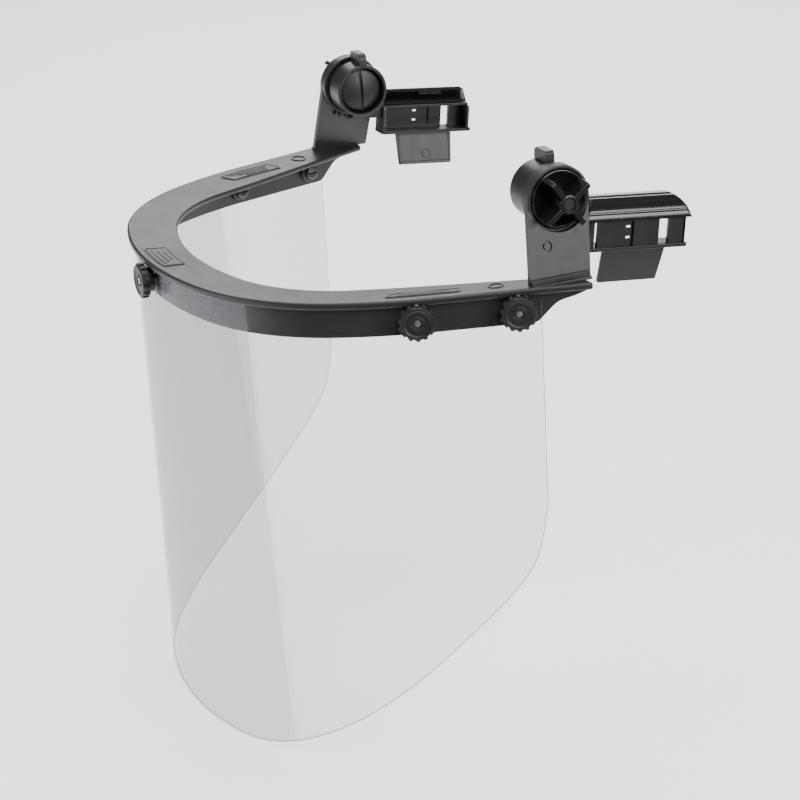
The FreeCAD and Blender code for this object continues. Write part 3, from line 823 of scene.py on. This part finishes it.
def stud_mesh():
    """One stud made on +X: slotted pan head inside the skirt and a turned end in the nut."""
    face = -(SKIRT_INSET + SKIRT_THICK) - 3.0
    tip = NUT_HEAD[1] - 0.5
    head = lathe(rounded([(face, 0), (face - 2.2, 0), (face - 2.2, 3.7), (face, 3.7)],
                         [0, 0, 1.2, 0.2], 5), 48)
    slot = block((face - 3, face - 1.2), (-5, 5), (-0.5, 0.5))
    head = soften(carve(head, slot), 0.12, 2, 50)
    ridges = [(face, 0), (face, STUD_R)]
    x = NUT_HEAD[0]
    while x < tip - 0.9:
        ridges += [(x, STUD_R - 0.05), (x + 0.35, STUD_R - 0.32), (x + 0.7, STUD_R - 0.05)]
        x += 0.7
    shank = lathe(ridges + [(tip - 0.35, STUD_R - 0.05), (tip, STUD_R - 0.4), (tip, 0.9), (tip - 0.3, 0.6),
                            (tip - 0.3, 0)], 40)
    return head, shank


def nuts_and_studs():
    nut = nut_mesh()
    head, shank = stud_mesh()
    for face in head.polygons:
        face.material_index = 1
    studs = []
    for name, point, normal in stud_stations():
        matrix = stud_matrix(point, normal)
        piece(name + "_moulding", placed(nut, matrix), name, [NUT_BLACK], [name])
        studs += [placed(head, matrix), placed(shank, matrix)]
    piece("stud_set", join(*studs), "carrier", [STUD_STEEL, BLACK_STEEL], ["clamp_screws"])


# ---- one hinge, made on the left and mirrored for the right ---------------------------------
def drum_mesh():
    cup = lathe(rounded([(DRUM_X[0], DRUM_BORE_R), (DRUM_X[0], DRUM_R), (DRUM_X[1], DRUM_R),
                         (DRUM_X[1], AXLE_HOLE_R), (DRUM_X[1] - 2.4, AXLE_HOLE_R),
                         (DRUM_X[1] - 2.4, DRUM_BORE_R)],
                        [0.35, 0.6, 0.5, 0.1, 0.1, 0.4], 4), 144)
    tab = rounded([(TAB_X[0], 12.8), (TAB_X[1], 12.8), (TAB_X[1], TAB_TOP), (TAB_X[0], TAB_TOP)],
                  [0.3, 0.2, 1.6, 4.4], 9)
    tab = soften(slab(tab, "xz", TAB_Y - 2.1, TAB_Y + 2.1), 1.3, 5, 50)
    return join(cup, tab)


def axle_mesh():
    low, high = DRUM_X[0] + 1.7, DRUM_X[0] + 4.3
    dome = [(low + 1.6 * (r / 11.4) ** 2, r) for r in np.linspace(0, 10.9, 14)]
    head = lathe(dome + [(low + 1.75, 11.25), (low + 2.1, 11.4), (high, 11.4), (high, 0)], 120)
    head = soften(carve(head, block((low - 1, low + 1.5), (-0.85, 0.85), (-12, 12))), 0.18, 2, 45)
    end = KNOB_TIP_X - 0.3
    shank = lathe([(high, 0), (high, AXLE_R), (AXLE_STEP_X, AXLE_R), (AXLE_STEP_X, THREAD_R),
                   (end - 0.3, THREAD_R), (end, THREAD_R - 0.3), (end, 0)], 60)
    return join(head, shank)


def knob_mesh():
    """The polished bowl, its long hub and four wings that stand well past the collar."""
    low, high = KNOB_X
    tip = KNOB_TIP_X
    bowl = [(low + 1.1 + 3.3 * (r / 13.0) ** 3.4, r) for r in np.linspace(KNOB_R - 0.8, 5.2, 16)]
    rim = rounded([(low, 3.95), (low, KNOB_R), (high, KNOB_R), bowl[0]], [0, 0.3, 0.35, 0.2], 3)
    root = [(low + 1.2, 5.0), (low + 1.9, 4.62)]
    hub = rounded([(tip - 0.1, 4.6), (tip, 3.1), (tip - 1.4, 3.1), (tip - 1.4, 3.95)], [0.35, 0.2, 0, 0], 4)
    shell = lathe(rim + bowl[1:] + root + hub, 144)
    wing = rounded([(4.0, low + 0.9), (4.0, tip - 0.1), (WING_REACH - 0.3, tip - 0.1),
                    (WING_REACH, high + 0.2), (WING_REACH - 0.3, low + 1.0)], [0, 0, 1.2, 0.3, 0], 5)
    wing = soften(slab(wing, "xz", -1.1, 1.1), 0.35, 3, 50)
    wings = repeated(wing, RING_TREE, GLOSS_BLACK, Count=4, Start=WING_TURN)
    return join(shell, placed(wings, Matrix(((0, 0, 1, 0), (0, 1, 0, 0), (-1, 0, 0, 0), (0, 0, 0, 1)))))


def tray_mesh():
    """The open tray with its windows, the disc round the axle and the helmet blade."""
    low, high = TRAY_Z
    wall_x = (TRAY_X[1] - 2.0, TRAY_X[1])
    through = (TRAY_X[0] - 1, TRAY_X[1] + 1)
    glass = (low + 1.8, high - 0.4)
    wall = block(wall_x, (TRAY_Y[0] + 0.1, TRAY_Y[1] - 0.1), (low + 0.2, high))
    cuts = [block(through, SLOT_Y, glass),
            block((TRAY_X[1] - 1.3, TRAY_X[1] + 1), LATCH_RECESS_Y, glass),
            block((TRAY_X[1] - 1.1, TRAY_X[1] + 1), SHALLOW_RECESS_Y, glass),
            block(through, OPENING_Y, glass),
            block((TRAY_X[0], TRAY_X[1] - 1.0), INNER_HOLLOW_Y, (low + 3.0, high - 1.6))]
    for lift in (5.2, 10.4):
        cuts.append(block((TRAY_X[1] - 1.75, TRAY_X[1] + 1), LATCH_SLIT_Y, (low + lift, low + lift + 1.1)))
        cuts.append(block(through, (LATCH_SLIT_Y[1] - 2.2, LATCH_SLIT_Y[1]), (low + lift, low + lift + 1.1)))
    shapes = [soften(carve(wall, *cuts), 0.16, 2, 50)]
    shelf = rounded([(TRAY_X[0], TRAY_Y[0]), (TRAY_X[1] + 0.7, TRAY_Y[0]),
                     (TRAY_X[1] + 0.7, TRAY_Y[1] + 1.4), (TRAY_X[0], TRAY_Y[1] + 1.4)],
                    [1.5, 0.6, 1.4, 0.8], 4)
    shapes.append(soften(slab(shelf, "xy", low, low + 1.8), 0.35, 3, 50))
    shapes.append(soften(block((TRAY_X[0] + 2, TRAY_X[1] - 1.1), (TRAY_Y[0] + 0.2, TRAY_Y[1] - 0.2),
                               (high - 0.1, high + 1.3)), 0.25, 2, 50))
    for y in ((TRAY_Y[0], TRAY_Y[0] + 1.3), (TRAY_Y[1] - 1.5, TRAY_Y[1])):
        end = rounded([(TRAY_X[0], low + 0.3), (TRAY_X[1], low + 0.3), (TRAY_X[1], high), (TRAY_X[0], high)],
                      [0.6, 0, 0.3, 1.5], 4)
        shapes.append(soften(slab(end, "xz", *y), 0.25, 2, 50))
    shapes.append(lathe(rounded([(DISC_X[0], AXLE_HOLE_R), (DISC_X[0], DISC_R), (DISC_X[1], DISC_R),
                                 (DISC_X[1], AXLE_HOLE_R)], [0, 0.3, 0.3, 0], 3), 96))
    neck = rounded([(2.0, -18.0), (TRAY_Y[0] + 1, -18.0), (TRAY_Y[0] + 1, -5.6), (6.0, -5.6)],
                   [2, 0, 0, 1], 3)
    shapes.append(soften(slab(neck, "yz", DISC_X[0] + 0.05, DISC_X[1] - 0.05), 0.25, 2, 50))
    return pitched(join(*shapes, blade_mesh()))


def blade_mesh():
    low = TRAY_Z[0]
    top_x = TRAY_X[1] - 2.8
    outline = rounded([(BLADE_Y[0], low + 1), (BLADE_Y[0] + 1.2, low - BLADE_DROP),
                       (BLADE_Y[1] - 1.0, low - BLADE_DROP), (BLADE_Y[1], low + 1)], [0, 0.9, 0.9, 0], 4)
    plate = soften(slab(outline, "yz", top_x - 1.6, top_x), 0.3, 3, 50)
    lip = soften(block((top_x - 2.3, top_x - 0.6), (BLADE_Y[0] + 1.5, BLADE_Y[1] - 1.3),
                       (low - BLADE_DROP + 0.1, low - BLADE_DROP + 1.7)), 0.35, 3, 50)
    ribs = []
    for y in (BLADE_Y[0] + 1.35, BLADE_Y[1] - 2.1):
        rib = block((top_x - 1.95, top_x - 1.0), (y, y + 0.9), (low - BLADE_DROP + 1, low))
        ribs.append(soften(rib, 0.2, 2, 50))
    dimple = lathe(rounded([(-0.15, 2.0), (-0.15, 2.6), (0.3, 2.6), (0.3, 2.0)], 0.08, 2), 40)
    dimple = placed(dimple, Matrix.Translation(Vector((top_x - 1.72, 45.0, low - 13)) * MM))
    return turned(join(plate, lip, dimple, *ribs), BLADE_LEAN, "Y", (top_x, 0, low + 1))


def cover_mesh():
    """The polished quarter-round cover: grooves along it and swept ends."""
    cx, cz = COVER_AXIS
    outline = []
    for degrees in np.linspace(0, 90, 91):
        a = math.radians(degrees)
        dip = sum(0.26 * math.exp(-((degrees - spot) / 3.4) ** 2) for spot in (20, 46, 70))
        outline.append((cx + (COVER_R - dip) * math.cos(a), cz + (COVER_R - dip) * math.sin(a)))
    inner = COVER_R - 1.5
    outline += [(cx + inner * math.cos(a), cz + inner * math.sin(a))
                for a in np.linspace(math.pi / 2, 0, 31)]
    outline += [(cx + inner, cz), (cx + COVER_R + 0.8, cz), (cx + COVER_R + 0.8, cz + 0.9)]
    front, rear = TRAY_Y[0] - 1.0, TRAY_Y[1] + 2.18
    rings = []
    for t in np.linspace(0, 1, 41):
        ring = []
        for x, z in outline:
            h = min(max((z - cz) / COVER_R, 0.0), 1.0)
            first = front + 3.6 * max(0.0, h - 0.14) / 0.86
            last = rear - 10.0 * (1 - math.sqrt(max(0.0, 1 - h * h)) * 0.72 - 0.28 * (1 - h))
            ring.append((x, first + (last - first) * t, z))
        rings.append(ring)
    snap = rounded([(cx + 0.1, 38.0), (cx + 0.1, 51.5), (cx + 1.6, 49.0), (cx + 1.6, 40.5)],
                   [0, 0, 0.5, 0.5], 3)
    snap = soften(slab(snap, "xy", cz + COVER_R - 3.4, cz + COVER_R - 1.2), 0.2, 2, 50)
    return pitched(join(soften(loft(rings), 0.22, 2, 55), snap))


def hinges():
    """Both hinges: each made once and mirrored for the wearer's right."""
    made = [("lever_drum_moulding", drum_mesh(), "lever", "hinge_plastic", HINGE_BLACK, ["lever_drum"]),
            ("axle_moulding", axle_mesh(), "adapter", "hinge_plastic", HINGE_BLACK, ["axle_screw"]),
            ("cross_knob_moulding", knob_mesh(), "knob", "glossy_plastic", GLOSS_BLACK, ["cross_knob"]),
            ("slot_adapter_moulding", tray_mesh(), "adapter", "hinge_plastic", HINGE_BLACK,
             ["slot_adapter"]),
            ("adapter_cover_moulding", cover_mesh(), "adapter", "glossy_plastic", GLOSS_BLACK,
             ["adapter_cover"])]
    for name, mesh, body, slot, finish, nodes in made:
        for side in ("left", "right"):
            shape = mesh.copy() if side == "left" else mirrored(mesh)
            piece(f"{side}_{name}", shape, f"{side}_{body}", [finish], [f"{side}_{n}" for n in nodes])


def repaint_hidden():
    """The inner pieces keep their own shape and get their finish."""
    finishes = {"_insert": BUSH_STEEL, "disc_spring": SPRING_STEEL, "friction_washer": NYLON}
    for name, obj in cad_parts.items():
        for ending, finish in finishes.items():
            if name.endswith(ending):
                obj.data.materials.clear()
                obj.data.materials.append(finish)


# ---- floor, light and camera ----------------------------------------------------------------
def floor():
    """A pale board that ends just past the wearer's left, so that side reflects the dark room."""
    low = CAD_BOX[0][2] * 1000 - 0.6
    outline = rounded([(-4000, -1150), (262, -1150), (262, 4000), (-4000, 4000)], 60, 6)
    mesh = slab(outline, "xy", low - 12, low)
    pale = Finish("pale board", Roughness=0.8, Specular_IOR_Level=0.1, Emission_Strength=1.3)
    pale.feed("Base Color", pale.colours(pale.noise(400.0), (0.86, 0.86, 0.86), (0.88, 0.88, 0.88)))
    pale.feed("Emission Color", pale.colours(pale.noise(300.0), (0.98, 0.98, 0.98), (1.0, 1.0, 1.0)))
    mesh.materials.append(pale.material)
    obj = bpy.data.objects.new("floor", mesh)
    bpy.context.scene.collection.objects.link(obj)


def area_light(name, place, aim, size, power, colour=(1, 1, 1)):
    light = bpy.data.lights.new(name, "AREA")
    light.shape = "RECTANGLE"
    light.size, light.size_y = size
    light.energy = power
    light.color = colour
    obj = bpy.data.objects.new(name, light)
    bpy.context.scene.collection.objects.link(obj)
    obj.location = place
    obj.rotation_euler = (Vector(aim) - Vector(place)).to_track_quat("-Z", "Y").to_euler()


def studio():
    world = bpy.data.worlds.new("studio")
    bpy.context.scene.world = world
    world.use_nodes = True
    nodes, link = world.node_tree.nodes, world.node_tree.links.new
    nodes.clear()
    out = nodes.new("ShaderNodeOutputWorld")
    seen, lit = nodes.new("ShaderNodeBackground"), nodes.new("ShaderNodeBackground")
    seen.inputs["Color"].default_value = (1, 1, 1, 1)
    seen.inputs["Strength"].default_value = 1.05
    lit.inputs["Color"].default_value = (0.95, 0.97, 1.0, 1)
    lit.inputs["Strength"].default_value = 0.14
    path, mixer = nodes.new("ShaderNodeLightPath"), nodes.new("ShaderNodeMixShader")
    link(path.outputs["Is Camera Ray"], mixer.inputs[0])
    link(lit.outputs[0], mixer.inputs[1])
    link(seen.outputs[0], mixer.inputs[2])
    link(mixer.outputs[0], out.inputs["Surface"])
    area_light("overhead", (-0.1, 0.0, 1.6), (0, 0, -0.2), (1.3, 1.3), 22)
    area_light("back softbox", (-1.5, 0.7, 0.85), (0, -0.05, -0.05), (1.3, 0.9), 18, (1.0, 0.94, 0.95))
    area_light("side softbox", (1.35, 0.65, 0.3), (0.12, 0.0, 0.0), (0.6, 0.8), 13)
    area_light("hinge softbox", (1.2, -0.1, 0.95), (0.12, 0.0, 0.0), (0.5, 0.5), 9)
    area_light("low left softbox", (-0.3, -1.5, 0.3), (0, -0.1, -0.05), (0.7, 0.7), 9, (0.92, 0.95, 1.0))


def camera():
    data = bpy.data.cameras.new("camera")
    data.lens, data.sensor_width = 112.5, 36.0
    data.clip_start, data.clip_end = 0.05, 30
    obj = bpy.data.objects.new("camera", data)
    bpy.context.scene.collection.objects.link(obj)
    right = Vector((0.397, 0.9164, -0.0529))
    up = Vector((-0.317, 0.1909, 0.929))
    back = right.cross(up).normalized()
    up = back.cross(right)
    basis = Matrix((right, up, back)).transposed().to_4x4()
    obj.matrix_world = Matrix.Translation((1.1084, -0.4845, 0.3357)) @ basis
    bpy.context.scene.camera = obj


camera()
studio()
floor()
carrier_frame()
clear_window()
nuts_and_studs()
hinges()
repaint_hidden()
